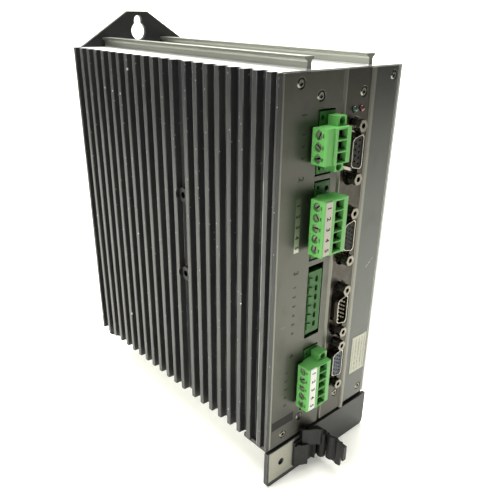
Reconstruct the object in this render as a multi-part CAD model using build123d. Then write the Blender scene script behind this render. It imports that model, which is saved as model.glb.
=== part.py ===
from build123d import *
import math
import os

os.makedirs("parts", exist_ok=True)

# Book-size servo drive in millimetres.
# It is drawn from the lower front left corner of the housing: X to the right from the fin tips,
# Y backwards from the front face and Z up from the underside. PLACE then moves every node so that the
# origin is on the rear mounting face, on the keyhole's centre line, level with the housing's underside.

# Housing
WIDTH = 84.0
HEIGHT = 191.0
DEPTH = 174.0
SHEET = 2.0
CASE_LEFT = 9.0
COVER_T = 1.6
PLACE_X = 44.0

# Heat sink, an extrusion with upright ribs
FIN_PITCH = 8.21
FIN_TIP = 3.0
FIN_DEPTH = 3.8
FIN_FIRST = 6.5
FIN_COUNT = 20
FIN_SPLIT = 8
FIN_SPLIT_EXTRA = 2.6
FIN_EDGE = 0.45
SINK_SCREW_Y = 69.4
SINK_SCREW_Z = (80.0, 125.0)

# Rear mounting plate
PLATE_LEFT = 4.2
PLATE_TOP = 211.0
PLATE_BOTTOM = -12.0
KEY_Z = 206.0
KEY_WIDE_Z = 199.7
KEY_R = 2.75
KEY_WIDE_R = 5.1
FOOT_SPACING = 65.0
FOOT_Z = -6.0
FOOT_R = 2.75

# Rails on top of the housing
RAIL_X = (21.0, 62.6)
RAIL_W = 5.6
RAIL_TOP = 196.3
RAIL_FRONT = 4.0

# Front panels
PANEL_LEFT = 2.4
GROOVE_X = 40.3
RIB_X0 = 59.3
RIB_X1 = 62.1
RIB_FRONT = -0.8
COVER_X0 = 62.5
COVER_X1 = 82.1
COVER_RETURN = 12.0
PANEL_Z0 = 0.3
PANEL_Z1 = 190.7

# Pluggable terminals, 5.08 mm pitch
PITCH = 5.08
HEADER_X0 = 25.2
HEADER_X1 = 34.9
HEADER_FRONT = -0.1
HEADER_GAP = 0.95
PIN_X = 29.8
PLUG_X0 = 19.8
PLUG_X1 = 36.1
PLUG_FRONT = -9.3
PLUG_BACK = -0.4
SCREW_Y = -4.7
ENTRY_X0 = 27.5
ENTRY_X1 = 33.4
MARKER_X0 = 20.8
MARKER_X1 = 25.4
MARKER_DEPTH = 0.65
FLANGE_HOLE_X = 33.0
FLANGE_HOLE_OUT = 2.45
X2_OUT = 1.6
X1_Z = 160.4
X2_Z = 123.85
X3_Z = 80.4
X4_Z = 35.1
X1_POLES = 3
X2_POLES = 5
X3_POLES = 6
X4_POLES = 5

# D-sub connectors, size E shells standing upright
DSUB_X = 49.6
DSUB_Z = (153.8, 111.8, 70.0, 36.4)
JACK_SPACING = 25.0
SHELL_OUT = -3.4

# Earth bracket and cable clamp
BRACKET_Z0 = -24.4
BRACKET_FRONT = -0.9
BRACKET_BACK = 1.5
EARTH_X = 10.8
EARTH_Z = -11.6
EARTH_R = 2.1
CLAMP_PIN_X = 38.8
CLAMP_PIN_Y = -6.0

# Circuit boards
POWER_BOARD_X = 35.0
CONTROL_BOARD_X = 57.0
BOARD_T = 1.6

PLACE = Pos(-PLACE_X, -DEPTH, 0)


def slab(x0, x1, y0, y1, z0, z1):
    """Box between two corners."""
    return Pos((x0 + x1) / 2, (y0 + y1) / 2, (z0 + z1) / 2) * Box(x1 - x0, y1 - y0, z1 - z0)


def rod_x(y, z, x0, x1, r):
    return Pos((x0 + x1) / 2, y, z) * Rot(0, 90, 0) * Cylinder(r, x1 - x0)


def rod_y(x, z, y0, y1, r):
    return Pos(x, (y0 + y1) / 2, z) * Rot(90, 0, 0) * Cylinder(r, y1 - y0)


def rod_z(x, y, z0, z1, r):
    return Pos(x, y, (z0 + z1) / 2) * Cylinder(r, z1 - z0)


def prism_z(points, z0, z1):
    face = make_face(Polyline(*points, close=True))
    return Pos(0, 0, z0) * extrude(face, amount=z1 - z0, dir=(0, 0, 1))


def prism_y(points, y0, y1):
    """Outline in X and Z, drawn out along Y."""
    face = make_face(Plane.XZ * Polyline(*points, close=True))
    return Pos(0, y0, 0) * extrude(face, amount=y1 - y0, dir=(0, 1, 0))


def slot_y(x, z, width, length, y0, y1):
    """Upright slot with round ends, cut along Y."""
    half = (length - width) / 2
    body = slab(x - width / 2, x + width / 2, y0, y1, z - half, z + half)
    return body + rod_y(x, z - half, y0, y1, width / 2) + rod_y(x, z + half, y0, y1, width / 2)


# Heat sink -------------------------------------------------------------------------------------

def fin_centre(i):
    return FIN_FIRST + FIN_PITCH * i + (FIN_SPLIT_EXTRA if i >= FIN_SPLIT else 0.0)


# The plan outline starts at the front corner, where a lip covers the panel's left edge.
profile = [
    (CASE_LEFT, 2.05), (2.2, 2.05), (2.2, 0.4), (0.2, 0.4), (0.0, 0.6),
    (0.0, 1.8), (0.2, 2.0), (1.4, 2.0), (FIN_DEPTH, 2.5),
]
for i in range(FIN_COUNT):
    y0 = fin_centre(i) - FIN_TIP / 2
    y1 = fin_centre(i) + FIN_TIP / 2
    profile += [(FIN_DEPTH, y0 - 0.2), (FIN_EDGE, y0), (0.12, y0 + 0.13), (0.0, y0 + FIN_EDGE)]
    profile += [(0.0, y1 - FIN_EDGE), (0.12, y1 - 0.13), (FIN_EDGE, y1), (FIN_DEPTH, y1 + 0.2)]
profile += [(FIN_DEPTH, 172.3), (0.3, 172.3), (0.0, 172.6), (0.0, 173.8), (0.2, 174.0)]
profile += [(PLATE_LEFT - 0.1, 174.0), (PLATE_LEFT - 0.1, 172.0), (CASE_LEFT, 172.0)]
profile += [(CASE_LEFT, 96.0), (11.0, 95.0), (11.0, 45.0), (CASE_LEFT, 44.0)]
heatsink = prism_z(profile, 0, HEIGHT)
for z in SINK_SCREW_Z:
    heatsink -= rod_x(SINK_SCREW_Y, z, -1, FIN_DEPTH + 0.2, 4.6)
    heatsink -= rod_x(SINK_SCREW_Y, z, 0, 12, 2.2)
export_step(PLACE * heatsink, "parts/heatsink.step")

sink_screws = Part()
for z in SINK_SCREW_Z:
    head = rod_x(SINK_SCREW_Y, z, 1.4, FIN_DEPTH + 0.2, 4.0) - rod_x(SINK_SCREW_Y, z, 1.0, 2.8, 1.7)
    sink_screws += head + rod_x(SINK_SCREW_Y, z, FIN_DEPTH + 0.2, 19.0, 2.0)
export_step(PLACE * sink_screws, "parts/sink_screws.step")

# Rear plate with the keyhole tab and the lower fixing holes ------------------------------------

plate_outline = [
    (PLATE_LEFT, HEIGHT), (36.9, PLATE_TOP), (51.1, PLATE_TOP), (WIDTH - 0.2, HEIGHT),
    (WIDTH - 0.2, -7.5), (77.0, PLATE_BOTTOM), (11.0, PLATE_BOTTOM), (PLATE_LEFT, -7.5),
]
rear_plate = prism_y(plate_outline, DEPTH - SHEET, DEPTH)
rear_plate -= rod_y(PLACE_X, KEY_WIDE_Z, DEPTH - 3, DEPTH + 1, KEY_WIDE_R)
rear_plate -= slab(PLACE_X - KEY_R, PLACE_X + KEY_R, DEPTH - 3, DEPTH + 1, KEY_WIDE_Z, KEY_Z)
rear_plate -= rod_y(PLACE_X, KEY_Z, DEPTH - 3, DEPTH + 1, KEY_R)
for side in (-1, 1):
    rear_plate -= rod_y(PLACE_X + side * FOOT_SPACING / 2, FOOT_Z, DEPTH - 3, DEPTH + 1, FOOT_R)
export_step(PLACE * rear_plate, "parts/rear_plate.step")

# Covers ----------------------------------------------------------------------------------------

PANEL_SCREWS = (
    (12.6, 186.4), (25.3, 180.6), (54.5, 180.5), (76.5, 186.4),
    (12.0, 6.1), (24.3, 11.6), (54.1, 12.8), (76.0, 7.3),
)


def screw_boss(x, z):
    """Tapped block behind a panel screw, hanging from the nearer cover."""
    if z > HEIGHT / 2:
        block = slab(x - 2.9, x + 2.9, SHEET + 0.05, 10.0, z - 3.4, HEIGHT - SHEET)
    else:
        block = slab(x - 2.9, x + 2.9, SHEET + 0.05, 10.0, SHEET, z + 3.4)
    return block - rod_y(x, z, 1.0, 9.0, 1.5)


COVER_LEFT = CASE_LEFT + 0.05
COVER_RIGHT = WIDTH - COVER_T - 0.05
COVER_FRONT = SHEET + 0.05
top_cover = slab(COVER_LEFT, COVER_RIGHT, COVER_FRONT, DEPTH - SHEET, HEIGHT - SHEET, HEIGHT)
for x in RAIL_X:
    half_tee = [
        (1.5, HEIGHT - 0.2), (1.25, HEIGHT + 1.2), (1.25, RAIL_TOP - 2.4), (1.7, RAIL_TOP - 1.5),
        (RAIL_W / 2, RAIL_TOP - 1.1), (RAIL_W / 2, RAIL_TOP),
    ]
    tee = [(x - u, z) for u, z in half_tee] + [(x + u, z) for u, z in half_tee[::-1]]
    top_cover += prism_y(tee, RAIL_FRONT, DEPTH - SHEET)
bottom_cover = slab(COVER_LEFT, COVER_RIGHT, COVER_FRONT, DEPTH - SHEET, 0, SHEET)
for cover_z in (HEIGHT - SHEET / 2, SHEET / 2):
    pad_notch = slab(CASE_LEFT, 11.05, 43.9, 96.1, cover_z - SHEET / 2, cover_z + SHEET / 2)
    top_cover -= pad_notch
    bottom_cover -= pad_notch
for row in range(3):
    for k in range(9):
        slot_x = 17.0 + 7.0 * k
        slot_y0 = 34.0 + 44.0 * row
        bottom_cover -= slab(slot_x - 1.5, slot_x + 1.5, slot_y0, slot_y0 + 36.0, -1, 3)
for x in (22.0, 66.0):
    bottom_cover -= rod_z(x, 14.0, -1, 3, 1.65)
for x, z in PANEL_SCREWS:
    if z > HEIGHT / 2:
        top_cover += screw_boss(x, z)
    else:
        bottom_cover += screw_boss(x, z)
export_step(PLACE * top_cover, "parts/top_cover.step")
export_step(PLACE * bottom_cover, "parts/bottom_cover.step")

side_cover = slab(WIDTH - COVER_T, WIDTH, 1.0, DEPTH - SHEET, 0, HEIGHT)
export_step(PLACE * side_cover, "parts/side_cover.step")

# Front panels ----------------------------------------------------------------------------------


def panel(x0, x1, z0, z1, left=0.5, right=0.5):
    """Flat panel with bevelled upright front edges."""
    outline = [(x0, left), (x0 + left, 0), (x1 - right, 0), (x1, right), (x1, SHEET), (x0, SHEET)]
    return prism_z(outline, z0, z1)


def screw_holes(body, x0, x1):
    for x, z in PANEL_SCREWS:
        if x0 < x < x1:
            body -= rod_y(x, z, 0.9, 3, 1.65)
            body -= rod_y(x, z, -1, 0.9, 2.5)
    return body


def header_length(poles, flanged):
    return poles * PITCH + (12.2 if flanged else 4.2)


HEADERS = (
    ("x1", X1_Z, X1_POLES, True),
    ("x2", X2_Z, X2_POLES, True),
    ("x3", X3_Z, X3_POLES, False),
    ("x4", X4_Z, X4_POLES, True),
)

power_panel = panel(PANEL_LEFT, GROOVE_X - 0.15, PANEL_Z0, PANEL_Z1)
for name, z, poles, flanged in HEADERS:
    half = header_length(poles, flanged) / 2 + HEADER_GAP
    low = z - half if flanged else z - 19.5
    high = z + half if flanged else z + 21.0
    power_panel -= slab(HEADER_X0 - HEADER_GAP, HEADER_X1 + 0.4, -1, 3, low, high)
power_panel = screw_holes(power_panel, PANEL_LEFT, GROOVE_X)
export_step(PLACE * power_panel, "parts/power_panel.step")

signal_panel = panel(GROOVE_X + 0.15, RIB_X1, PANEL_Z0, PANEL_Z1, left=1.4, right=0.3)
signal_panel += prism_z(
    [(RIB_X0, 0.2), (RIB_X0, -0.1), (RIB_X0 + 0.8, RIB_FRONT), (RIB_X1 - 0.4, RIB_FRONT),
     (RIB_X1, RIB_FRONT + 0.4), (RIB_X1, 0.6)],
    -0.9, PANEL_Z1)
for z in DSUB_Z:
    signal_panel -= slot_y(DSUB_X, z, 11.4, 32.6, -1, 3)
signal_panel = screw_holes(signal_panel, GROOVE_X, RIB_X0)
LEDS = (("led_green", 48.7), ("led_red", 53.8))
LED_Z = 173.1
for name, x in LEDS:
    signal_panel -= rod_y(x, LED_Z, -1, 3, 1.6)
export_step(PLACE * signal_panel, "parts/signal_panel.step")

option_cover = prism_z(
    [(COVER_X0, 0.5), (COVER_X0 + 0.5, 0), (COVER_X1 - 2.2, 0), (COVER_X1, 1.1), (COVER_X1, COVER_RETURN),
     (COVER_X1 - SHEET, COVER_RETURN), (COVER_X1 - SHEET, SHEET), (COVER_X0, SHEET)],
    1.6, PANEL_Z1)
option_cover = screw_holes(option_cover, COVER_X0, COVER_X1 - 3)
option_cover -= slab(70.0, COVER_X1 + 1, 2.0, 13.0, 180.0, HEIGHT)
option_cover -= slab(70.0, COVER_X1 + 1, 2.0, 13.0, 0.0, 13.0)
export_step(PLACE * option_cover, "parts/option_cover.step")

panel_screws = Part()
for x, z in PANEL_SCREWS:
    cone = Cone(2.15, 1.6, 0.45, align=(Align.CENTER, Align.CENTER, Align.MIN))
    dome = Pos(x, 0.4, z) * Rot(90, 0, 0) * cone
    head = rod_y(x, z, 0.4, 0.9, 2.15) + dome
    head -= rod_y(x, z, -1, 0.6, 1.0)
    panel_screws += head + rod_y(x, z, 0.9, 8.5, 1.5)
export_step(PLACE * panel_screws, "parts/panel_screws.step")

led_bodies = {}
for name, x in LEDS:
    led_bodies[name] = rod_y(x, LED_Z, 0.0, 4.6, 1.5) + Pos(x, 0.0, LED_Z) * Sphere(1.5)
export_step(PLACE * led_bodies["led_green"], "parts/led_green.step")
export_step(PLACE * led_bodies["led_red"], "parts/led_red.step")

rating_label = slab(66.2, 79.2, -0.15, 0, 19.8, 44.4)
export_step(PLACE * rating_label, "parts/rating_label.step")

# Header bodies and pins ------------------------------------------------------------------------

BOARD_Y0 = 6.0


def pole_z(z, poles, k):
    return z + ((poles - 1) / 2 - k) * PITCH


def header(z, poles):
    """Open-fronted header with a nut flange at each end."""
    length = header_length(poles, True)
    body = slab(HEADER_X0, HEADER_X1, HEADER_FRONT, 12.4, z - length / 2, z + length / 2)
    inner = poles * PITCH / 2 + 0.35
    body -= slab(HEADER_X0 + 1.1, HEADER_X1 - 1.1, -1, 10.4, z - inner, z + inner)
    for k in range(poles):
        zz = pole_z(z, poles, k)
        for tooth_x in (HEADER_X0, HEADER_X1 - 1.1):
            body -= slab(tooth_x - 0.1, tooth_x + 1.2, -1, 3.0, zz - 1.3, zz + 1.3)
    for end in (-1, 1):
        body -= rod_y(FLANGE_HOLE_X, z + end * (poles * PITCH / 2 + FLANGE_HOLE_OUT), -1, 9.0, 1.35)
        notch_z = z + end * (length / 2 - 2.6)
        body -= slab(HEADER_X0 + 1.0, HEADER_X0 + 2.6, -1, 2.0, notch_z - 0.9, notch_z + 0.9)
    for k in range(poles):
        zz = pole_z(z, poles, k)
        body -= slab(PIN_X - 0.52, PIN_X + 0.52, 9.0, 13.0, zz - 0.52, zz + 0.52)
    return body


header_bodies = {name: header(z, poles) for name, z, poles, flanged in HEADERS if flanged}
export_step(PLACE * header_bodies["x1"], "parts/x1_header.step")
export_step(PLACE * header_bodies["x2"], "parts/x2_header.step")
export_step(PLACE * header_bodies["x4"], "parts/x4_header.step")

x3_length = header_length(X3_POLES, False)
x3_header = slab(HEADER_X0, HEADER_X1, 0.3, 13.0, X3_Z - x3_length / 2, X3_Z + x3_length / 2)
for k in range(X3_POLES):
    z = pole_z(X3_Z, X3_POLES, k)
    x3_header -= slot_y(31.2, z, 1.9, 3.4, -1, 10.0)
    rib = [(HEADER_X0, z - 2.0), (HEADER_X0 + 2.9, z - 1.2), (HEADER_X0 + 2.9, z + 1.2), (HEADER_X0, z + 2.0)]
    x3_header += prism_y(rib, -0.6, 0.4)
    x3_header -= slab(PIN_X + 0.88, PIN_X + 1.92, 9.0, 14.0, z - 0.52, z + 0.52)
export_step(PLACE * x3_header, "parts/x3_header.step")

header_pins = Part()
for name, z, poles, flanged in HEADERS:
    for k in range(poles):
        zz = pole_z(z, poles, k)
        x = PIN_X if flanged else PIN_X + 1.4
        front = 2.6 if flanged else 4.0
        back = 15.2 if flanged else 15.8
        header_pins += slab(x - 0.5, x + 0.5, front, back, zz - 0.5, zz + 0.5)
        header_pins += slab(x, POWER_BOARD_X + 2.6, back - 1.0, back, zz - 0.5, zz + 0.5)
export_step(PLACE * header_pins, "parts/header_pins.step")

# Plugs -----------------------------------------------------------------------------------------


def funnel(z0, z1, grow, y0, y1):
    """Mouth of a wire entry that narrows in height from y0 to y1."""
    place = Pos((ENTRY_X0 + ENTRY_X1) / 2, 0, (z0 + z1) / 2)
    mouth = place * Pos(0, y0, 0) * Rot(90, 0, 0) * Rectangle(ENTRY_X1 - ENTRY_X0, z1 - z0 + 2 * grow)
    throat = place * Pos(0, y1, 0) * Rot(90, 0, 0) * Rectangle(ENTRY_X1 - ENTRY_X0, z1 - z0)
    return loft([mouth, throat])


def plug(z, poles, flanged, out=0.0):
    """Screw terminal plug: body, nose that enters the header, and optional screw flanges."""
    half = poles * PITCH / 2 + (0.25 if flanged else 0.7)
    nose = poles * PITCH / 2 + 0.1
    outline = [
        (PLUG_X0, -1.2), (PLUG_X0, PLUG_FRONT + 0.7), (PLUG_X0 + 0.7, PLUG_FRONT), (PLUG_X1, PLUG_FRONT),
        (PLUG_X1, -6.2), (35.0, PLUG_BACK), (24.6, PLUG_BACK), (24.6, -1.2),
    ]
    body = prism_z(outline, z - half, z + half)
    body += slab(26.6, 33.0, PLUG_BACK - 0.1, 9.8, z - nose, z + nose)
    body -= slab(MARKER_X0, MARKER_X1, PLUG_FRONT - 1, PLUG_FRONT + MARKER_DEPTH, z - half - 1, z + half + 1)
    for k in range(poles - 1):
        edge = (pole_z(z, poles, k) + pole_z(z, poles, k + 1)) / 2
        body -= slab(26.0, 27.4, 1.5, 11.0, edge - 0.7, edge + 0.7)
    for k in range(poles):
        zz = pole_z(z, poles, k)
        body -= rod_x(SCREW_Y, zz, PLUG_X0 - 1, 25.2, 2.05)
        body -= rod_x(SCREW_Y, zz, 25.0, 27.6, 1.56)
        body -= slab(PLUG_X0 - 1, 22.4, -7.85, -7.1, zz - 0.85, zz + 0.85)
        body -= slab(ENTRY_X0, ENTRY_X1, PLUG_FRONT - 1, -1.6, zz - 1.9, zz + 1.9)
        body -= funnel(zz - 1.9, zz + 1.9, 0.42, PLUG_FRONT - 0.01, PLUG_FRONT + 0.8)
        body -= slab(PIN_X - 0.62, PIN_X + 0.62, -1.7, 11.0, zz - 0.62, zz + 0.62)
    if flanged:
        for end in (-1, 1):
            z0 = z + end * (half - 0.1)
            z1 = z + end * (half + 4.3)
            body += slab(30.2, 35.9, -6.2, PLUG_BACK, min(z0, z1), max(z0, z1))
            middle = z + end * (poles * PITCH / 2 + FLANGE_HOLE_OUT)
            body -= rod_y(FLANGE_HOLE_X, middle, -8, 1, 1.4)
            body -= rod_y(FLANGE_HOLE_X, middle, -8, -2.2, 1.85)
    return Pos(0, -out, 0) * body


def wire_clamps(z, poles, out=0.0):
    """Steel cages that the terminal screws draw up on the wires."""
    cages = Part()
    for k in range(poles):
        zz = pole_z(z, poles, k)
        cage = slab(ENTRY_X0 + 0.1, ENTRY_X1 - 0.1, -7.0, -1.8, zz - 1.8, zz + 1.8)
        cage -= slab(29.0, 32.6, -9, -1, zz - 1.35, zz + 1.35)
        cage -= rod_x(SCREW_Y, zz, 27.0, 30.0, 1.55)
        cages += cage
    return Pos(0, -out, 0) * cages


def terminal_screw(z, poles, k, turn, out=0.0):
    zz = pole_z(z, poles, k)
    screw = rod_x(SCREW_Y, zz, 20.7, 24.9, 1.75) + rod_x(SCREW_Y, zz, 24.9, 29.6, 1.5)
    screw -= Pos(20.7, SCREW_Y, zz) * Rot(turn, 0, 0) * Box(1.9, 0.85, 5.0)
    return Pos(0, -out, 0) * screw


def flange_screws(z, poles):
    screws = Part()
    for end in (-1, 1):
        middle = z + end * (poles * PITCH / 2 + FLANGE_HOLE_OUT)
        screw = rod_y(FLANGE_HOLE_X, middle, -4.0, -2.2, 1.7) + rod_y(FLANGE_HOLE_X, middle, -2.2, 6.0, 1.25)
        slot = slab(FLANGE_HOLE_X - 0.35, FLANGE_HOLE_X + 0.35, -6, -3.3, middle - 2.5, middle + 2.5)
        screws += screw - slot
    return screws


def marker(z, poles, out=0.0):
    half = poles * PITCH / 2
    x0 = MARKER_X0 + 0.05
    x1 = MARKER_X1 - 0.05
    strip = slab(x0, x1, PLUG_FRONT - 0.15, PLUG_FRONT + MARKER_DEPTH, z - half, z + half)
    return Pos(0, -out, 0) * strip


# Angle of each screw's slot, from the top pole down
SLOT_TURNS = {
    "x1": (20, -55, 75),
    "x2": (45, -40, 90, 30, 8),
    "x4": (-25, 60, 85, -50, 15),
}

export_step(PLACE * plug(X1_Z, X1_POLES, True), "parts/x1_plug.step")
export_step(PLACE * plug(X2_Z, X2_POLES, False, X2_OUT), "parts/x2_plug.step")
export_step(PLACE * plug(X4_Z, X4_POLES, True), "parts/x4_plug.step")
export_step(PLACE * wire_clamps(X1_Z, X1_POLES), "parts/x1_wire_clamps.step")
export_step(PLACE * wire_clamps(X2_Z, X2_POLES, X2_OUT), "parts/x2_wire_clamps.step")
export_step(PLACE * wire_clamps(X4_Z, X4_POLES), "parts/x4_wire_clamps.step")
export_step(PLACE * flange_screws(X1_Z, X1_POLES), "parts/x1_flange_screws.step")
export_step(PLACE * flange_screws(X4_Z, X4_POLES), "parts/x4_flange_screws.step")
export_step(PLACE * marker(X2_Z, X2_POLES, X2_OUT), "parts/x2_marker.step")
export_step(PLACE * marker(X4_Z, X4_POLES), "parts/x4_marker.step")
PLUGS = (("x1", X1_Z, X1_POLES, 0.0), ("x2", X2_Z, X2_POLES, X2_OUT), ("x4", X4_Z, X4_POLES, 0.0))
for name, z, poles, out in PLUGS:
    for k in range(poles):
        screw = terminal_screw(z, poles, k, SLOT_TURNS[name][k], out)
        export_step(PLACE * screw, f"parts/{name}_screw_{k + 1}.step")

# D-sub connectors ------------------------------------------------------------------------------


def d_outline(wide, depth, grow):
    """D outline about the connector's centre, wide side towards +X."""
    w = wide / 2 + grow
    d = depth / 2 + grow
    n = w - 2 * d * math.tan(math.radians(10))
    upper = [(d, w - 1.2), (d - 1.2, w), (-d + 1.2, n + 0.2), (-d, n - 1.0)]
    return upper + [(u, -v) for u, v in upper[::-1]]


def d_prism(z, wide, depth, grow, y0, y1):
    points = [(DSUB_X + u, z + v) for u, v in d_outline(wide, depth, grow)]
    return prism_y(points, y0, y1)


SHELL_W = 16.4
SHELL_D = 8.0


def dsub_shell(z):
    """Plated flange with its D collar."""
    body = slab(DSUB_X - 6.2, DSUB_X + 6.2, SHEET + 0.05, SHEET + 1.05, z - 15.4, z + 15.4)
    body += d_prism(z, SHELL_W, SHELL_D, 0.0, SHELL_OUT, SHEET + 1.0)
    body -= d_prism(z, SHELL_W, SHELL_D, -0.45, SHELL_OUT - 1, SHEET + 2)
    for end in (-1, 1):
        body -= rod_y(DSUB_X, z + end * JACK_SPACING / 2, 0, 5, 1.55)
    return body


def contact_points(rows, columns, pitch, gap):
    """Contact places about the centre; every other row is set off by half a pitch."""
    points = []
    for r in range(rows):
        u = (rows - 1) * gap / 2 - r * gap
        if rows == 2:
            n = columns - r
            shift = 0.0
        else:
            n = columns
            shift = (-0.25 if r % 2 == 0 else 0.25) * pitch
        for c in range(n):
            points.append((u, ((n - 1) / 2 - c) * pitch + shift))
    return points


NINE = contact_points(2, 5, 2.77, 2.84)
FIFTEEN = contact_points(3, 5, 2.29, 1.98)


def dsub_insert(z, face, points, hole_r):
    """Moulded insulator with its contact holes."""
    body = d_prism(z, SHELL_W, SHELL_D, -0.5, face, SHEET + 1.05)
    body += slab(DSUB_X - 5.4, DSUB_X + 5.4, SHEET + 1.05, 11.0, z - 9.6, z + 9.6)
    for u, v in points:
        body -= rod_y(DSUB_X + u, z + v, face - 1, 8.0 if face < 0 else 4.0, hole_r)
    return body


def dsub_pins(z, points):
    pins = Part()
    for u, v in points:
        pins += rod_y(DSUB_X + u, z + v, -2.6, 3.95, 0.38)
    return pins


export_step(PLACE * dsub_shell(DSUB_Z[0]), "parts/dsub1_shell.step")
export_step(PLACE * dsub_shell(DSUB_Z[1]), "parts/dsub2_shell.step")
export_step(PLACE * dsub_shell(DSUB_Z[2]), "parts/dsub3_shell.step")
export_step(PLACE * dsub_shell(DSUB_Z[3]), "parts/dsub4_shell.step")
export_step(PLACE * dsub_insert(DSUB_Z[0], -3.0, NINE, 0.6), "parts/dsub1_insert.step")
export_step(PLACE * dsub_insert(DSUB_Z[1], -3.0, FIFTEEN, 0.5), "parts/dsub2_insert.step")
export_step(PLACE * dsub_insert(DSUB_Z[2], 2.0, FIFTEEN, 0.39), "parts/dsub3_insert.step")
export_step(PLACE * dsub_insert(DSUB_Z[3], -3.0, FIFTEEN, 0.6), "parts/dsub4_insert.step")
export_step(PLACE * dsub_pins(DSUB_Z[2], FIFTEEN), "parts/dsub3_pins.step")

jackscrews = Part()
for z in DSUB_Z:
    for end in (-1, 1):
        zj = z + end * JACK_SPACING / 2
        hexagon = extrude(Plane.XZ * RegularPolygon(2.6, 6, major_radius=False), amount=7.4)
        post = Pos(DSUB_X, SHEET + 0.05, zj) * hexagon
        post -= rod_y(DSUB_X, zj, -6, 0.0, 1.25)
        jackscrews += post + rod_y(DSUB_X, zj, SHEET + 0.05, 8.0, 1.5)
export_step(PLACE * jackscrews, "parts/dsub_jackscrews.step")

# Earth bracket with its screws -----------------------------------------------------------------

bracket_face = slab(0.2, WIDTH, BRACKET_FRONT, BRACKET_BACK, BRACKET_Z0, -1.2)
bracket_face = fillet(bracket_face.edges().filter_by(Axis.Y).group_by(Axis.Z)[0], 3.0)
earth_bracket = bracket_face + slab(2.0, WIDTH - 2, BRACKET_BACK - 0.1, 20.0, -2.4, 0.0)
earth_bracket -= slab(-1, WIDTH + 1, -2, BRACKET_BACK - 0.1, -1.2, 1)
earth_bracket -= rod_y(EARTH_X, EARTH_Z, -3, 3, EARTH_R)
for x in (22.0, 66.0):
    earth_bracket -= rod_z(x, 14.0, -4, 1, 2.1)
for x in (24.0, 34.0):
    earth_bracket -= rod_y(x, -12.0, -3, 3, 1.3)
export_step(PLACE * earth_bracket, "parts/earth_bracket.step")

bracket_screws = Part()
for x in (22.0, 66.0):
    screw = rod_z(x, 14.0, -4.4, -2.4, 3.4) + rod_z(x, 14.0, -2.4, 5.0, 1.6)
    bracket_screws += screw - rod_z(x, 14.0, -5, -3.4, 1.3)
export_step(PLACE * bracket_screws, "parts/bracket_screws.step")

# Hinged cable clamp ----------------------------------------------------------------------------

CLAMP_Z0 = -20.0
CLAMP_Z1 = -3.6
CLAMP_LOW_TOP = -6.0
PIN_R = 1.2

base_low = prism_z(
    [(19.9, BRACKET_FRONT), (19.9, -2.2), (27.2, -6.1), (30.0, -3.7), (32.6, -3.7), (33.6, -5.8),
     (34.6, -3.4), (36.2, -3.4), (CLAMP_PIN_X - 0.2, -3.3), (CLAMP_PIN_X + 2.0, BRACKET_FRONT)],
    CLAMP_Z0, CLAMP_LOW_TOP)
base_high = prism_z(
    [(25.5, BRACKET_FRONT), (25.0, -3.0), (27.0, -5.2), (31.0, -7.4), (32.6, -9.6), (34.4, -9.6),
     (34.2, -7.0), (31.4, -3.6), (30.0, BRACKET_FRONT)],
    -7.0, 3.6)
base_high -= rod_z(28.2, -3.1, 0.0, 5.0, 1.1)
web = slab(19.9, 25.6, -2.0, BRACKET_FRONT, CLAMP_LOW_TOP - 0.1, CLAMP_Z1)
clamp_base = base_low + base_high + web + rod_z(22.4, -3.0, CLAMP_LOW_TOP - 0.1, CLAMP_LOW_TOP + 1.2, 1.0)
for z0, z1 in ((CLAMP_Z0, -16.4), (-7.2, CLAMP_Z1)):
    clamp_base += rod_z(CLAMP_PIN_X, CLAMP_PIN_Y, z0, z1, 2.5)
    clamp_base += slab(CLAMP_PIN_X - 1.8, CLAMP_PIN_X + 2.0, CLAMP_PIN_Y, BRACKET_FRONT, z0, z1)
clamp_base -= rod_z(CLAMP_PIN_X, CLAMP_PIN_Y, -16.4, -7.2, 2.9)
clamp_base += rod_z(CLAMP_PIN_X, CLAMP_PIN_Y, CLAMP_Z0, CLAMP_Z1, PIN_R)
for x in (24.0, 34.0):
    clamp_base += rod_y(x, -12.0, BRACKET_FRONT - 0.1, BRACKET_BACK + 0.9, 1.2)
export_step(PLACE * clamp_base, "parts/clamp_base.step")


def band(points, thickness, z0, z1):
    """Upright strip that follows a bent line."""
    left = []
    right = []
    for i, (x, y) in enumerate(points):
        x0, y0 = points[max(i - 1, 0)]
        x1, y1 = points[min(i + 1, len(points) - 1)]
        run = math.hypot(x1 - x0, y1 - y0)
        nx = -(y1 - y0) / run * thickness / 2
        ny = (x1 - x0) / run * thickness / 2
        left.append((x + nx, y + ny))
        right.append((x - nx, y - ny))
    return prism_z(left + right[::-1], z0, z1)


ARM_WAVE = (
    (1.2, -7.6), (1.5, -8.9), (0.6, -10.2), (0.5, -11.6), (1.6, -13.4), (1.7, -15.0), (0.9, -16.8), (1.3, -19.2),
)
ARM_HOOK = ((1.1, -17.6), (0.9, -20.0), (0.8, -22.4))
clamp_arm = band([(CLAMP_PIN_X + u, y) for u, y in ARM_WAVE], 1.7, CLAMP_Z0 + 0.3, CLAMP_Z1 - 0.1)
clamp_arm += band([(CLAMP_PIN_X + u, y) for u, y in ARM_HOOK], 1.5, -13.4, -4.0)
clamp_arm += slab(CLAMP_PIN_X - 0.9, CLAMP_PIN_X + 0.6, -22.4, -21.2, -13.4, -4.0)
clamp_arm -= rod_z(CLAMP_PIN_X, CLAMP_PIN_Y, CLAMP_Z0 - 1, CLAMP_Z1 + 1, 2.8)
knuckle = rod_z(CLAMP_PIN_X, CLAMP_PIN_Y, -16.2, -7.4, 2.5)
knuckle += slab(CLAMP_PIN_X, CLAMP_PIN_X + 2.2, CLAMP_PIN_Y - 2.6, CLAMP_PIN_Y, -16.2, -7.4)
clamp_arm += knuckle
clamp_arm -= rod_z(CLAMP_PIN_X, CLAMP_PIN_Y, CLAMP_Z0 - 1, CLAMP_Z1 + 1, PIN_R + 0.05)
export_step(PLACE * clamp_arm, "parts/clamp_arm.step")

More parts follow.
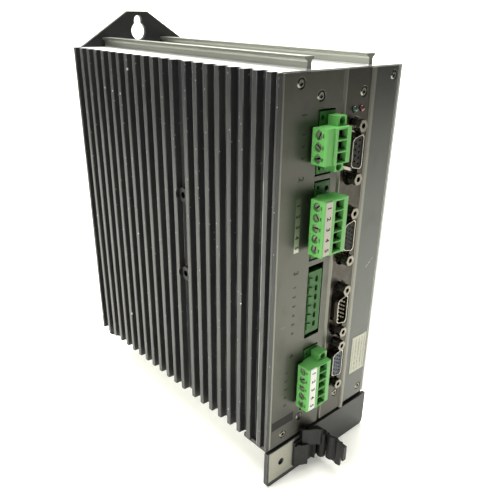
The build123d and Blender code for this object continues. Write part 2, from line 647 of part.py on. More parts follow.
# Inside: boards, power stage and capacitors ----------------------------------------------------

BOARD_CORNERS = ((22.0, 22.0), (22.0, 172.0), (160.0, 22.0), (160.0, 172.0))

power_board = slab(POWER_BOARD_X, POWER_BOARD_X + BOARD_T, BOARD_Y0 + 4.5, 166.0, 12.8, 176.0)
control_board = slab(CONTROL_BOARD_X, CONTROL_BOARD_X + BOARD_T, BOARD_Y0 + 4.5, 166.0, 17.0, 176.0)
for y, z in BOARD_CORNERS:
    power_board -= rod_x(y, z, POWER_BOARD_X - 1, POWER_BOARD_X + 3, 1.7)
    control_board -= rod_x(y, z, CONTROL_BOARD_X - 1, CONTROL_BOARD_X + 3, 1.7)
for name, z, poles, flanged in HEADERS:
    for k in range(poles):
        zz = pole_z(z, poles, k)
        back = 15.2 if flanged else 15.8
        power_board -= slab(POWER_BOARD_X - 1, POWER_BOARD_X + 3, back - 1.1, back + 0.1, zz - 0.6, zz + 0.6)
export_step(PLACE * power_board, "parts/power_board.step")
export_step(PLACE * control_board, "parts/control_board.step")

POST_STEPS = (
    (CASE_LEFT, POWER_BOARD_X, 3.0),
    (POWER_BOARD_X, POWER_BOARD_X + BOARD_T, 1.6),
    (POWER_BOARD_X + BOARD_T, CONTROL_BOARD_X, 3.0),
    (CONTROL_BOARD_X, CONTROL_BOARD_X + BOARD_T, 1.6),
    (CONTROL_BOARD_X + BOARD_T, CONTROL_BOARD_X + 3.4, 2.75),
)
board_posts = Part()
for y, z in BOARD_CORNERS:
    for x0, x1, r in POST_STEPS:
        board_posts += rod_x(y, z, x0, x1, r)
export_step(PLACE * board_posts, "parts/board_posts.step")

power_module = slab(11.0, 24.0, 48.0, 92.0, 60.0, 145.0)
for z in SINK_SCREW_Z:
    power_module -= rod_x(SINK_SCREW_Y, z, 10, 21, 2.0)
export_step(PLACE * power_module, "parts/power_module.step")

dc_link_capacitors = Part()
for y in (112.0, 136.0):
    for z in (56.0, 112.0):
        dc_link_capacitors += rod_z(23.0, y, z, z + 45.0, 11.0)
export_step(PLACE * dc_link_capacitors, "parts/dc_link_capacitors.step")
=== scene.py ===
import math
from functools import reduce

import bpy
from mathutils import Matrix, Vector


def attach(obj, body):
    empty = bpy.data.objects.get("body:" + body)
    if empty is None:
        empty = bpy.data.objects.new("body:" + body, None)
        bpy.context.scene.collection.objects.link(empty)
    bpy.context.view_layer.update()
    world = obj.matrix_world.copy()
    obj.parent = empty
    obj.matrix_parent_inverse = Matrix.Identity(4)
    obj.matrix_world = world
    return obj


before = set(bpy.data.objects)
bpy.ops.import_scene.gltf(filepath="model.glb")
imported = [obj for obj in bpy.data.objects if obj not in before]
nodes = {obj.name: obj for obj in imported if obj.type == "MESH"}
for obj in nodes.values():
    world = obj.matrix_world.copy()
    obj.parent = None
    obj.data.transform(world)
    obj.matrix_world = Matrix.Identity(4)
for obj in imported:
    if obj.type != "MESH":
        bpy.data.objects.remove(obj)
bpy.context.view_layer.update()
scene = bpy.context.scene

# The case frame of the design: millimetres, X right from the fin tips, Y back from the front face,
# Z up from the underside.
PLACE_X = 44.0
DEPTH = 174.0

# Places in the case frame that the materials and the printed marks refer to.
SINK_SKIN_Z = (0.4, 190.6)  # beyond these heights are the sawn ends of the heat sink
FIRST_FIN_Y = (7.35, 8.15)  # tip of the fin behind the front corner
SINK_CORNER_Y = (2.2, 2.6)  # front corner of the heat sink
TIP_CHIPS = (  # Y, Z and half width of single chips on the fin tips
    (130.4, 28.8, 0.7),
    (114.4, 183.4, 0.55),
    (140, 171.5, 0.4),
    (131.6, 170.6, 0.4),
    (123.4, 170, 0.4),
)
RAIL_Z = (191.2, 191.6)  # the top cover's sheet ends and its rails begin
SOCKETS_X = (41.5, 59.5)  # columns and heights of the ports that collect grime
SOCKETS_Z = (50, 168)
STRIP_X = (13.2, 16.4)  # pale strip beside the second port
STRIP_Z = (111.2, 137.2)
# The rib and lip are painted lighter as a highlight.
RIB_X = (59.3, 61.8)  # raised rib and lip between the front panels
LIP_X = (41.8, 42.5)
PAD_X = (1.9, 21.0)  # bare earth pad of the bracket
PAD_Z = (-21.4, -1.6)
# The slot floors are painted dark as shade.
SLOT_FLOOR_X = (21.3, 22.4)  # floor of the slots of the terminal screws
PRINT_X = (67.4, 78.2)  # bars that stand in for the rating label's print
PRINT_Z = (21.6, 42.4)
ROWS_START = 66.2
ROW_STEP = 2.6
INK_Y = -0.012  # printed marks lie just in front of the panels
POLE_PITCH = 5.08


def at(x, y, z):
    """Point of the case frame in metres of the part's frame."""
    return Vector(((x - PLACE_X) / 1000, (y - DEPTH) / 1000, z / 1000))


# Node helpers -----------------------------------------------------------------------------------


class Surface:
    """One procedural material. Its pattern methods work in millimetres of the case frame."""

    def __init__(self, name):
        self.mat = bpy.data.materials.new(name)
        self.mat.use_nodes = True
        self.tree = self.mat.node_tree
        self.shader = self.tree.nodes["Principled BSDF"]
        coords = self.tree.nodes.new("ShaderNodeTexCoord")
        shift = self.tree.nodes.new("ShaderNodeVectorMath")
        shift.operation = "MULTIPLY_ADD"
        self.link(coords.outputs["Object"], shift.inputs[0])
        shift.inputs[1].default_value = (1000, 1000, 1000)
        shift.inputs[2].default_value = (PLACE_X, DEPTH, 0)
        self.mm = shift.outputs[0]
        self._split = None

    def link(self, a, b):
        self.tree.links.new(a, b)

    def feed(self, socket, value):
        """Link another node's output to a socket, or set a plain number or colour on it."""
        if isinstance(value, bpy.types.NodeSocket):
            self.link(value, socket)
        elif isinstance(value, (int, float)):
            socket.default_value = value
        elif len(value) == 3 and socket.type == "RGBA":
            socket.default_value = (*value, 1)
        else:
            socket.default_value = value

    def split(self):
        """X, Y and Z of the case frame in millimetres."""
        if self._split is None:
            node = self.tree.nodes.new("ShaderNodeSeparateXYZ")
            self.link(self.mm, node.inputs[0])
            self._split = node.outputs
        return self._split

    def facing(self):
        """X, Y and Z of the surface normal."""
        geometry = self.tree.nodes.new("ShaderNodeNewGeometry")
        node = self.tree.nodes.new("ShaderNodeSeparateXYZ")
        self.link(geometry.outputs["Normal"], node.inputs[0])
        return node.outputs

    def math(self, operation, a, b=0.0):
        node = self.tree.nodes.new("ShaderNodeMath")
        node.operation = operation
        for socket, value in zip(node.inputs, (a, b)):
            self.feed(socket, value)
        return node.outputs[0]

    def times(self, *values):
        """Product of the values."""
        return reduce(lambda a, b: self.math("MULTIPLY", a, b), values)

    def most(self, *values):
        """Largest of the values."""
        return reduce(lambda a, b: self.math("MAXIMUM", a, b), values)

    def noise(self, size, stretch=(1, 1, 1), detail=3.0, seed=0.0):
        """Noise with grains of about size millimetres, longer along an axis by stretch."""
        place = self.tree.nodes.new("ShaderNodeMapping")
        self.link(self.mm, place.inputs["Vector"])
        place.inputs["Location"].default_value = (seed, seed * 1.7, seed * 0.6)
        place.inputs["Scale"].default_value = tuple(1 / (size * s) for s in stretch)
        node = self.tree.nodes.new("ShaderNodeTexNoise")
        self.link(place.outputs[0], node.inputs["Vector"])
        node.inputs["Scale"].default_value = 1.0
        node.inputs["Detail"].default_value = detail
        node.inputs["Roughness"].default_value = 0.55
        return node.outputs["Fac"]

    def specks(self, cell, radius, share, seed):
        """1 inside small round spots, one in a share of the cells. Sizes are in millimetres."""
        place = self.tree.nodes.new("ShaderNodeMapping")
        self.link(self.mm, place.inputs["Vector"])
        place.inputs["Location"].default_value = (seed, seed * 1.3, seed * 2.1)
        place.inputs["Scale"].default_value = (1 / cell, 1 / cell, 1 / cell)
        node = self.tree.nodes.new("ShaderNodeTexVoronoi")
        self.link(place.outputs[0], node.inputs["Vector"])
        node.inputs["Scale"].default_value = 1.0
        pick = self.tree.nodes.new("ShaderNodeSeparateXYZ")
        self.link(node.outputs["Color"], pick.inputs[0])
        chosen = self.math("LESS_THAN", pick.outputs[0], share)
        near = self.span(node.outputs["Distance"], radius / cell, radius / cell * 0.55)
        return self.times(chosen, near)

    def span(self, value, start, end, low=0.0, high=1.0):
        """Smooth step from low to high while the value goes from start to end."""
        node = self.tree.nodes.new("ShaderNodeMapRange")
        node.interpolation_type = "SMOOTHSTEP"
        self.feed(node.inputs["Value"], value)
        node.inputs["From Min"].default_value = start
        node.inputs["From Max"].default_value = end
        node.inputs["To Min"].default_value = low
        node.inputs["To Max"].default_value = high
        return node.outputs["Result"]

    def between(self, value, low, high, soft=0.1):
        """1 where value lies between low and high."""
        up = self.span(value, low - soft, low + soft)
        down = self.span(value, high - soft, high + soft, 1.0, 0.0)
        return self.times(up, down)

    def mix(self, share, a, b):
        """Colour a where the share is 0, b where it is 1."""
        node = self.tree.nodes.new("ShaderNodeMix")
        node.data_type = "RGBA"
        self.feed(node.inputs["Factor"], share)
        self.feed(node.inputs[6], a)
        self.feed(node.inputs[7], b)
        return node.outputs[2]

    def blend(self, share, a, b):
        """Number a where the share is 0, b where it is 1."""
        node = self.tree.nodes.new("ShaderNodeMix")
        node.data_type = "FLOAT"
        self.feed(node.inputs[0], share)
        self.feed(node.inputs[2], a)
        self.feed(node.inputs[3], b)
        return node.outputs[0]

    def edge(self, radius):
        """1 near a sharp edge within radius millimetres."""
        bevel = self.tree.nodes.new("ShaderNodeBevel")
        bevel.samples = 6
        bevel.inputs["Radius"].default_value = radius / 1000
        geometry = self.tree.nodes.new("ShaderNodeNewGeometry")
        dot = self.tree.nodes.new("ShaderNodeVectorMath")
        dot.operation = "DOT_PRODUCT"
        self.link(bevel.outputs[0], dot.inputs[0])
        self.link(geometry.outputs["Normal"], dot.inputs[1])
        return self.span(dot.outputs["Value"], 0.99, 0.9)

    def bump(self, height, depth, strength, rounding):
        """Bump of a depth in millimetres on edges rounded by a radius in millimetres."""
        node = self.tree.nodes.new("ShaderNodeBump")
        node.inputs["Strength"].default_value = strength
        node.inputs["Distance"].default_value = depth / 1000
        self.feed(node.inputs["Height"], height)
        bevel = self.tree.nodes.new("ShaderNodeBevel")
        bevel.samples = 6
        bevel.inputs["Radius"].default_value = rounding / 1000
        self.link(bevel.outputs[0], node.inputs["Normal"])
        self.link(node.outputs[0], self.shader.inputs["Normal"])

    def set(self, **sockets):
        """Feed the shader's sockets: base_color, metallic and roughness."""
        for name, value in sockets.items():
            self.feed(self.shader.inputs[name.replace("_", " ").title()], value)

    def specular(self, level):
        """One specular level for the whole surface, set on the socket itself."""
        self.shader.inputs["Specular IOR Level"].default_value = level


def dress(node_names, surface):
    """Give the CAD nodes one material."""
    for name in node_names:
        mesh = nodes[name].data
        mesh.materials.clear()
        mesh.materials.append(surface.mat)


# Materials --------------------------------------------------------------------------------------


def black_anodised():
    """Heat sink: black anodised skin with lines along the extrusion, sawn ends, worn edges and a few chips."""
    s = Surface("black_anodised")
    x, y, z = s.split()
    drawn_lines_and_painted_highlights = s.noise(0.35, (1, 1, 120), 2.0, seed=3)
    cloud = s.noise(18, (1, 1, 3), seed=8)
    skin = s.mix(drawn_lines_and_painted_highlights, (0.016, 0.016, 0.017), (0.034, 0.035, 0.036))
    skin = s.mix(s.times(s.span(cloud, 0.45, 0.75), 0.25), skin, (0.07, 0.07, 0.065))
    # Wear: patches along every edge, then the first fin's tip, the ends of the fins and the front corner.
    patches = s.span(s.noise(9, (1, 1, 4), 4.0, seed=5), 0.42, 0.56)
    worn = s.times(s.edge(0.35), patches, 0.4)
    tip = s.times(s.between(y, *FIRST_FIN_Y, 0.12), s.span(x, 0.7, 0.3), s.span(z, 165, 140))
    streaks = s.span(s.noise(3, (1, 1, 6), seed=2), 0.36, 0.5)
    worn = s.most(worn, s.times(tip, streaks, 0.3))
    ends = s.most(s.span(z, 6, 1), s.span(z, 183, 190))
    rubbed = s.span(s.noise(1.6, seed=25), 0.46, 0.58)
    worn = s.most(worn, s.times(s.edge(0.5), rubbed, ends, 0.45))
    broken = s.span(s.noise(4, (1, 1, 8), seed=33), 0.3, 0.44)
    worn = s.most(worn, s.times(s.between(y, *SINK_CORNER_Y, 0.12), broken, 0.6))
    chips = s.specks(7, 0.42, 0.08, seed=4)
    for chip_y, chip_z, half in TIP_CHIPS:
        across = s.between(y, chip_y - half, chip_y + half, 0.2)
        upright = s.between(z, chip_z - half, chip_z + half, 0.2)
        chips = s.most(chips, s.times(across, upright, s.span(x, 0.9, 0.5)))
    dots = s.times(s.specks(2.8, 0.38, 0.26, seed=11), 0.4)
    level = s.span(s.math("ABSOLUTE", s.facing()[2]), 0.85, 0.95)
    sawn = s.times(level, s.math("SUBTRACT", 1.0, s.between(z, *SINK_SKIN_Z, 0.05)))
    bare = s.most(worn, chips, dots, sawn)
    saw_lines = s.noise(0.5, (1, 30, 1), 2.0, seed=14)
    metal = s.mix(saw_lines, (0.62, 0.62, 0.6), (0.82, 0.82, 0.79))
    rough = s.blend(bare, s.blend(drawn_lines_and_painted_highlights, 0.28, 0.4), 0.42)
    s.set(base_color=s.mix(bare, skin, metal), metallic=s.times(bare, 0.85), roughness=rough)
    s.specular(0.5)
    grain = s.noise(0.6, seed=21)
    s.bump(s.math("ADD", s.times(drawn_lines_and_painted_highlights, 0.6), s.times(grain, 0.4)), 0.02, 0.6, 0.12)
    return s


def bare_aluminium(name, dark, light, rough):
    """Mill-finish aluminium with faint rolling lines along the depth, with the rails painted darker as shade.
    """
    s = Surface(name)
    z = s.split()[2]
    lines = s.noise(0.4, (1, 90, 1), seed=6)
    cloud = s.noise(14, (1, 2, 1), seed=2)
    colour = s.mix(lines, dark, light)
    colour = s.mix(s.span(cloud, 0.5, 0.8, 0, 0.35), colour, (0.55, 0.55, 0.51))
    painted_rail_shade = s.mix(lines, (0.27, 0.28, 0.245), (0.35, 0.36, 0.315))
    # Painted shade: the rails are painted a darker aluminium.
    colour = s.mix(s.span(z, *RAIL_Z), colour, painted_rail_shade)
    s.set(base_color=colour, metallic=0.9, roughness=s.blend(lines, *rough))
    s.bump(lines, 0.012, 0.5, 0.15)
    return s


def grey_panel(name, dark, light, rough, marks):
    """Satin front plate with a fine grain, painted lighter on its edges, bevels, rib and lip as a highlight.

    With marks it has grime round the ports, scratches and the pale strip beside the second port.
    Without marks it has one longer scratch.
    """
    s = Surface(name)
    x, _, z = s.split()
    grain = s.noise(0.28, seed=1)
    cloud = s.noise(11, (1, 1, 1.6), 4.0, seed=7)
    colour = s.mix(grain, dark, light)
    colour = s.mix(s.span(cloud, 0.5, 0.72, 0, 0.3), colour, tuple(v * 0.72 for v in dark))
    if marks:
        grime = s.span(s.noise(2.6, detail=4.0, seed=9), 0.4, 0.56)
        grime = s.times(grime, s.between(x, *SOCKETS_X, 1.5), s.between(z, *SOCKETS_Z, 12), 0.72)
        colour = s.mix(grime, colour, (0.042, 0.034, 0.026))
        scratches = s.noise(0.25, (60, 60, 1), 1.0, seed=31)
        colour = s.mix(s.span(scratches, 0.76, 0.8, 0, 0.2), colour, (0.4, 0.4, 0.37))
        strip = s.times(s.between(x, *STRIP_X, 0.08), s.between(z, *STRIP_Z, 0.08))
        # The strip is paler at its bottom and fades out towards its top.
        strip = s.times(strip, s.span(z, 138, 112, 0.12, 0.75))
        colour = s.mix(strip, colour, (0.42, 0.42, 0.34))
    else:
        slope = s.math("ADD", z, s.times(x, -0.75))
        scratch = s.times(s.between(slope, 34.4, 34.75, 0.12), s.between(x, 70.8, 76.5, 0.3))
        broken = s.span(s.noise(1.2, detail=2.0, seed=3), 0.36, 0.5)
        colour = s.mix(s.times(scratch, broken, 0.6), colour, (0.5, 0.5, 0.47))
    # Painted highlights: faces turned sideways and forwards, the rib and the lip are painted lighter.
    sideways, forwards, _ = s.facing()
    bevel = s.times(s.span(s.math("ABSOLUTE", sideways), 0.3, 0.42), s.span(forwards, -0.3, -0.6))
    drawn_lines_and_painted_highlights = s.most(bevel, s.between(x, *RIB_X, 0.15), s.between(x, *LIP_X, 0.2))
    colour = s.mix(s.times(drawn_lines_and_painted_highlights, 0.6), colour, (0.24, 0.24, 0.21))
    # Painted highlight: every edge is painted lighter.
    colour = s.mix(s.times(s.edge(0.3), 0.35), colour, (0.45, 0.45, 0.4))
    s.set(base_color=colour, metallic=0.85, roughness=s.blend(cloud, *rough))
    s.bump(grain, 0.01, 0.35, 0.2)
    return s


def powder_coat(s, dark, light, wear, bare):
    """Colour and grain of a satin powder coat, worn to a bare colour at the edges by a range of wear."""
    grain = s.noise(0.7, seed=12)
    cloud = s.noise(16, seed=13)
    patches = s.span(s.noise(5, detail=4.0, seed=15), 0.4, 0.6, *wear)
    return s.mix(s.times(s.edge(0.35), patches), s.mix(cloud, dark, light), bare), grain


def black_paint():
    """The rear plate's powder coat."""
    s = Surface("black_paint")
    colour, grain = powder_coat(s, (0.016, 0.016, 0.017), (0.034, 0.034, 0.033), (0.15, 0.8), (0.3, 0.3, 0.28))
    s.set(base_color=colour, roughness=s.blend(grain, 0.38, 0.5))
    s.specular(0.36)
    s.bump(grain, 0.03, 0.5, 0.25)
    return s


def bracket_paint():
    """Powder coat with the square earth pad left bare."""
    s = Surface("bracket_paint")
    x, _, z = s.split()
    colour, grain = powder_coat(s, (0.02, 0.02, 0.021), (0.038, 0.038, 0.037), (0.25, 0.9), (0.32, 0.32, 0.3))
    wobble = s.times(s.noise(2.0, seed=17), 0.5)
    across = s.between(s.math("ADD", x, wobble), *PAD_X, 0.1)
    upright = s.between(s.math("ADD", z, wobble), *PAD_Z, 0.1)
    pad = s.times(across, upright, s.span(s.facing()[1], -0.6, -0.9))
    metal = s.mix(s.noise(1.4, detail=4.0, seed=18), (0.33, 0.32, 0.27), (0.46, 0.45, 0.39))
    rough = s.blend(pad, s.blend(grain, 0.34, 0.46), 0.5)
    s.set(base_color=s.mix(pad, colour, metal), metallic=s.times(pad, 0.8), roughness=rough)
    s.specular(0.34)
    s.bump(grain, 0.03, 0.5, 0.25)
    return s


def plastic(name, dark, light, rough, size, rounding, dust, specular):
    """Moulded plastic: faint flow clouding, fine spark-eroded grain, dust and softened edges."""
    s = Surface(name)
    cloud = s.noise(6, seed=3)
    grain = s.noise(size * 0.4, detail=2.0, seed=5)
    colour = s.mix(cloud, dark, light)
    if dust:
        dusty = s.span(s.noise(1.8, detail=4.0, seed=6), 0.56, 0.72, 0, dust)
        colour = s.mix(dusty, colour, (0.35, 0.34, 0.3))
    s.set(base_color=colour, roughness=s.blend(cloud, *rough))
    s.specular(specular)
    s.bump(grain, 0.015, 0.5, rounding)
    return s


def plated(name, dark, light, rough, tarnish, rounding=0.12, slot=None):
    """Plated steel with uneven tarnish. slot gives the two X values of a slot's floor, painted dark as shade.
    """
    s = Surface(name)
    cloud = s.noise(2.2, detail=4.0, seed=4)
    grain = s.noise(0.3, detail=2.0, seed=5)
    colour = s.mix(grain, dark, light)
    colour = s.mix(s.span(cloud, 0.5, 0.7, 0, tarnish), colour, (0.2, 0.16, 0.11))
    # Painted shade: the floor of the slot is painted dark.
    if slot:
        colour = s.mix(s.between(s.split()[0], *slot, 0.15), colour, (0.02, 0.017, 0.013))
    s.set(base_color=colour, metallic=1.0, roughness=s.blend(cloud, *rough))
    s.bump(grain, 0.01, 0.5, rounding)
    return s


def board():
    """Lacquered circuit board with faint tracks."""
    s = Surface("circuit_board")
    tracks = s.noise(1.1, (1, 8, 1), 1.0, seed=4)
    fine = s.noise(0.8, (1, 1, 8), 1.0, seed=6)
    lit = s.most(s.span(tracks, 0.52, 0.55), s.span(fine, 0.54, 0.57))
    colour = s.mix(lit, (0.012, 0.08, 0.035), (0.03, 0.17, 0.07))
    s.set(base_color=colour, roughness=s.blend(fine, 0.22, 0.34))
    s.bump(lit, 0.04, 0.6, 0.1)
    return s


def paper(name, base, ink_rows):
    """Matt label stock. Rows of short faint bars stand in for print where ink_rows is set."""
    s = Surface(name)
    x, _, z = s.split()
    fibre = s.noise(0.8, detail=4.0, seed=3)
    stain = s.noise(9, seed=8)
    colour = s.mix(fibre, base, tuple(min(1.0, v * 1.08) for v in base))
    colour = s.mix(s.span(stain, 0.5, 0.8, 0, 0.25), colour, tuple(v * 0.72 for v in base))
    if ink_rows:
        column = s.math("FRACT", s.times(s.math("SUBTRACT", x, ROWS_START), 1 / ROW_STEP))
        row = s.between(column, 0.25, 0.68, 0.06)
        words = s.span(s.noise(1.3, (0.1, 1, 1.1), 2.0, seed=5), 0.5, 0.54)
        inside = s.times(s.between(z, *PRINT_Z, 0.3), s.between(x, *PRINT_X, 0.2))
        colour = s.mix(s.times(row, words, inside, 0.85), colour, (0.08, 0.08, 0.075))
    s.set(base_color=colour, roughness=s.blend(fibre, 0.55, 0.7))
    s.bump(fibre, 0.01, 0.4, 0.1)
    return s


def lamp(name, dark, light):
    """Tinted clear lamp body, clouded between a darker and a lighter tint."""
    s = Surface(name)
    cloud = s.noise(1.2, detail=2.0, seed=2)
    s.set(base_color=s.mix(cloud, dark, light), roughness=s.blend(cloud, 0.08, 0.16))
    s.shader.inputs["Coat Weight"].default_value = 0.6
    s.bump(cloud, 0.01, 0.3, 0.1)
    return s


green = plastic(
    "green_plastic", (0.1, 0.36, 0.08), (0.15, 0.45, 0.12),
    rough=(0.32, 0.44), size=0.9, rounding=0.25, dust=0.06, specular=0.38,
)
green_deep = plastic(
    "green_header", (0.026, 0.11, 0.023), (0.042, 0.15, 0.034),
    rough=(0.4, 0.52), size=0.9, rounding=0.2, dust=0.08, specular=0.25,
)
black = plastic(
    "black_plastic", (0.008, 0.008, 0.0085), (0.016, 0.016, 0.0165),
    rough=(0.34, 0.46), size=0.8, rounding=0.3, dust=0.03, specular=0.3,
)
insert_black = plastic(
    "insert_black", (0.006, 0.006, 0.006), (0.012, 0.011, 0.011),
    rough=(0.5, 0.65), size=0.8, rounding=0.1, dust=0.02, specular=0.25,
)
slate = plastic(
    "blue_plastic", (0.06, 0.075, 0.1), (0.09, 0.105, 0.14),
    rough=(0.45, 0.58), size=0.8, rounding=0.15, dust=0.0, specular=0.3,
)

# name, dark and light colour, roughness range, tarnish
nickel = plated("nickel_plate", (0.26, 0.245, 0.21), (0.4, 0.38, 0.33), (0.16, 0.3), 0.55)
zinc = plated("zinc_screw", (0.6, 0.57, 0.5), (0.78, 0.75, 0.68), (0.3, 0.44), 0.5, slot=SLOT_FLOOR_X)
lock_nickel = plated("screwlock", (0.14, 0.13, 0.11), (0.25, 0.235, 0.2), (0.2, 0.34), 0.7)
dark_screw = plated("dark_screw", (0.008, 0.008, 0.008), (0.03, 0.03, 0.028), (0.3, 0.45), 0.1)
tin = plated("tinned_brass", (0.3, 0.27, 0.2), (0.42, 0.38, 0.3), (0.25, 0.4), 0.5, rounding=0.08)
cage_steel = plated("cage_steel", (0.12, 0.115, 0.1), (0.2, 0.19, 0.17), (0.34, 0.5), 0.6)
panel_screw = plated("panel_screw", (0.18, 0.175, 0.155), (0.28, 0.27, 0.245), (0.2, 0.32), 0.4)

cover_metal = bare_aluminium("bare_aluminium", (0.72, 0.72, 0.69), (0.86, 0.86, 0.83), (0.3, 0.46))
sheet_metal = bare_aluminium("sheet_aluminium", (0.4, 0.4, 0.39), (0.48, 0.48, 0.465), (0.38, 0.5))
power_grey = grey_panel("grey_panel", (0.074, 0.073, 0.063), (0.095, 0.094, 0.082), (0.32, 0.4), True)
signal_grey = grey_panel("signal_grey", (0.05, 0.047, 0.039), (0.067, 0.063, 0.053), (0.3, 0.4), True)
cover_grey = grey_panel("cover_panel", (0.069, 0.071, 0.067), (0.088, 0.091, 0.086), (0.28, 0.36), False)

dress(["heatsink"], black_anodised())
dress(["rear_plate"], black_paint())
dress(["earth_bracket"], bracket_paint())
dress(["top_cover"], cover_metal)
dress(["bottom_cover", "side_cover"], sheet_metal)
dress(["power_panel"], power_grey)
dress(["signal_panel"], signal_grey)
dress(["option_cover"], cover_grey)
dress(["sink_screws", "bracket_screws", "x1_flange_screws", "x4_flange_screws"], dark_screw)
dress(["panel_screws"], panel_screw)
dress([n for n in nodes if "_screw_" in n], zinc)
dress(["dsub1_shell", "dsub2_shell", "dsub3_shell", "dsub4_shell"], nickel)
dress(["dsub_jackscrews", "board_posts"], lock_nickel)
dress(["x1_wire_clamps", "x2_wire_clamps", "x4_wire_clamps"], cage_steel)
dress(["header_pins", "dsub3_pins"], tin)
dress(["x1_plug", "x2_plug", "x4_plug"], green)
dress(["x1_header", "x2_header", "x3_header", "x4_header"], green_deep)
dress(["dsub1_insert", "dsub2_insert", "dsub3_insert"], insert_black)
dress(["dsub4_insert"], slate)
dress(["clamp_base", "clamp_arm", "power_module", "dc_link_capacitors"], black)
dress(["x2_marker"], paper("marker_cream", (0.5, 0.47, 0.41), False))
dress(["x4_marker"], paper("marker_white", (0.78, 0.77, 0.74), False))
dress(["rating_label"], paper("label_paper", (0.53, 0.53, 0.44), True))
dress(["led_green"], lamp("lamp_green", (0.01, 0.045, 0.03), (0.02, 0.075, 0.05)))
dress(["led_red"], lamp("lamp_red", (0.06, 0.012, 0.012), (0.1, 0.02, 0.02)))
dress(["power_board", "control_board"], board())

# Printed marks ----------------------------------------------------------------------------------


def ink(name, colour):
    """Matt print."""
    s = Surface(name)
    fleck = s.noise(0.4, seed=2)
    faded = tuple(min(1.0, v * 1.6 + 0.01) for v in colour)
    s.set(base_color=s.mix(fleck, colour, faded), roughness=s.blend(fleck, 0.6, 0.75))
    s.specular(0.15)
    return s


ink_black = ink("ink_black", (0.02, 0.02, 0.02))
ink_grey = ink("ink_grey", (0.02, 0.02, 0.019))


def new_piece(name, mesh, surface):
    mesh.materials.clear()
    mesh.materials.append(surface.mat)
    piece = bpy.data.objects.new(name, mesh)
    scene.collection.objects.link(piece)
    return piece


def mark(name, mesh, surface, body):
    """A printed mark that rides a body."""
    piece = new_piece(name, mesh, surface)
    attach(piece, body)


def digit(text, place, height, surface, body, name):
    """A printed figure on a face that looks forwards, turned to read downwards. Height in millimetres."""
    curve = bpy.data.curves.new(name, "FONT")
    curve.body = text
    curve.size = height / 1000 / 0.72  # figures are 0.72 of the font size high
    curve.align_x = "CENTER"
    curve.align_y = "CENTER"
    curve.extrude = 0.00001
    curve.offset = 0.00011
    curve.resolution_u = 3
    holder = bpy.data.objects.new(name + "_curve", curve)
    scene.collection.objects.link(holder)
    bpy.context.view_layer.update()
    mesh = bpy.data.meshes.new_from_object(holder.evaluated_get(bpy.context.evaluated_depsgraph_get()))
    bpy.data.objects.remove(holder)
    mesh.name = name
    face = Matrix.Rotation(math.radians(90), 4, "X") @ Matrix.Rotation(math.radians(-90), 4, "Z")
    mesh.transform(Matrix.Translation(place) @ face)
    mark(name, mesh, surface, body)


def pole_heights(centre, poles):
    return [centre + ((poles - 1) / 2 - k) * POLE_PITCH for k in range(poles)]


# Figures on the marker strips: plug, Z of its middle, poles, Y of the strip's face
for plug, centre, poles, front in (("x2", 123.85, 5, -11.065), ("x4", 35.1, 5, -9.465)):
    for k, z in enumerate(pole_heights(centre, poles), 1):
        digit(str(k), at(23.1, front, z), 2.5, ink_black, plug + "_plug", f"{plug}_figure_{k}")

# Pole figures beside the ports: port, Z of its middle, poles, X and height of the figures, ink
for port, centre, poles, column, height, print_ink in (
    (1, 160.4, 3, 15.6, 1.9, ink_grey),
    (2, 123.85, 5, 14.8, 2.4, ink_black),
    (3, 80.4, 6, 15.2, 1.9, ink_grey),
    (4, 35.1, 5, 12.4, 1.9, ink_grey),
):
    for k, z in enumerate(pole_heights(centre, poles), 1):
        place = at(column, INK_Y, z)
        digit(str(k), place, height, print_ink, "housing", f"port_{port}_figure_{k}")

# Port figures above each port
for port, z in ((1, 173.6), (2, 146.0), (3, 100.5), (4, 54.5)):
    digit(str(port), at(15.4, INK_Y, z), 3.2, ink_grey, "housing", f"port_{port}")


def patch(name, x0, x1, z0, z1, surface, body):
    """Thin printed patch on the front face, given by its corners in millimetres."""
    corners = [at(x0, INK_Y, z0), at(x1, INK_Y, z0), at(x1, INK_Y, z1), at(x0, INK_Y, z1)]
    mesh = bpy.data.meshes.new(name)
    mesh.from_pydata(corners, [], [(0, 1, 2, 3)])
    mark(name, mesh, surface, body)


patch("badge", 3.4, 19.4, 12.0, 17.6, ink_black, "housing")

# Stage, light and camera ------------------------------------------------------------------------


def stage_piece(name, corners, surface):
    mesh = bpy.data.meshes.new(name)
    mesh.from_pydata(corners, [], [tuple(range(len(corners)))])
    piece = new_piece(name, mesh, surface)


def pale(name, glow):
    """Plain pale stage surface with a uniform glow."""
    s = Surface(name)
    cloud = s.noise(120, detail=2.0, seed=1)
    s.set(base_color=s.mix(cloud, (0.87, 0.87, 0.81), (0.91, 0.91, 0.85)), roughness=0.8)
    s.shader.inputs["Emission Color"].default_value = (1.0, 1.0, 0.92, 1)
    s.shader.inputs["Emission Strength"].default_value = glow
    return s


FLOOR_Z = -0.0246  # just under the front bracket
STAGE_LEFT, STAGE_RIGHT = -0.55, 1.8
STAGE_FRONT, STAGE_REAR = -1.1, 1.6
WALL_FRONT = -0.2
WALL_TOP = 1.6

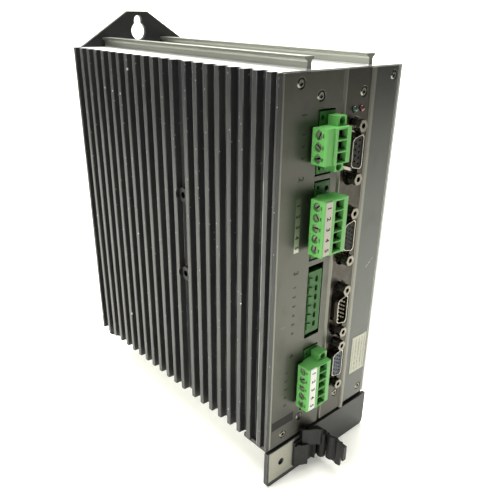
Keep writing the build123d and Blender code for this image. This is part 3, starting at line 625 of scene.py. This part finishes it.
stage_piece(
    "floor",
    [
        (STAGE_LEFT, STAGE_FRONT, FLOOR_Z),
        (STAGE_RIGHT, STAGE_FRONT, FLOOR_Z),
        (STAGE_RIGHT, STAGE_REAR, FLOOR_Z),
        (STAGE_LEFT, STAGE_REAR, FLOOR_Z),
    ],
    pale("floor_pale", 0.3),
)
stage_piece(
    "backdrop",
    [
        (STAGE_RIGHT, WALL_FRONT, FLOOR_Z),
        (STAGE_RIGHT, WALL_FRONT, WALL_TOP),
        (STAGE_RIGHT, STAGE_REAR, WALL_TOP),
        (STAGE_RIGHT, STAGE_REAR, FLOOR_Z),
    ],
    pale("backdrop_side", 0.9),
)
stage_piece(
    "backdrop_rear",
    [
        (STAGE_LEFT, STAGE_REAR, FLOOR_Z),
        (STAGE_RIGHT, STAGE_REAR, FLOOR_Z),
        (STAGE_RIGHT, STAGE_REAR, WALL_TOP),
        (STAGE_LEFT, STAGE_REAR, WALL_TOP),
    ],
    pale("backdrop_back", 0.75),
)

world = bpy.data.worlds.new("studio")
world.use_nodes = True
scene.world = world
background = world.node_tree.nodes["Background"]
background.inputs["Color"].default_value = (0.9, 0.95, 1.0, 1)
background.inputs["Strength"].default_value = 0.07


def soft_light(name, place, aim, size, watts, colour):
    """Area light at a place in metres, aimed at a point."""
    data = bpy.data.lights.new(name, "AREA")
    data.shape = "RECTANGLE"
    data.size, data.size_y = size
    data.energy = watts
    data.color = colour
    lamp_object = bpy.data.objects.new(name, data)
    scene.collection.objects.link(lamp_object)
    lamp_object.location = place
    lamp_object.rotation_euler = (Vector(aim) - Vector(place)).to_track_quat("-Z", "Y").to_euler()


soft_light("overhead", (0.1, 0.24, 1.25), (0, 0.0, 0), (1.2, 1.15), 52, (1.0, 0.99, 0.96))
soft_light("left", (-1.2, 0.0, 0.8), (0, -0.1, 0.1), (0.9, 0.9), 16, (1.0, 1.0, 0.98))

# The camera fitted to the photograph: its place, lens and the directions of its axes.
camera_data = bpy.data.cameras.new("camera")
camera = bpy.data.objects.new("camera", camera_data)
scene.collection.objects.link(camera)
scene.camera = camera
camera_data.sensor_width = 36
camera_data.lens = 40.4217
camera_data.shift_x = -0.0121
camera_data.shift_y = 0.0410
camera_data.clip_start = 0.01
right = Vector((0.737138, -0.675428, 0.020619))
up = Vector((0.26943, 0.321755, 0.907679))
back = Vector((-0.619706, -0.663529, 0.419158))
turn = Matrix((right, up, back)).transposed().to_4x4()
camera.matrix_world = Matrix.Translation((-0.206167, -0.336640, 0.212537)) @ turn

scene.view_settings.view_transform = "Standard"
scene.view_settings.look = "None"
scene.view_settings.exposure = 0.0
scene.view_settings.gamma = 1.0
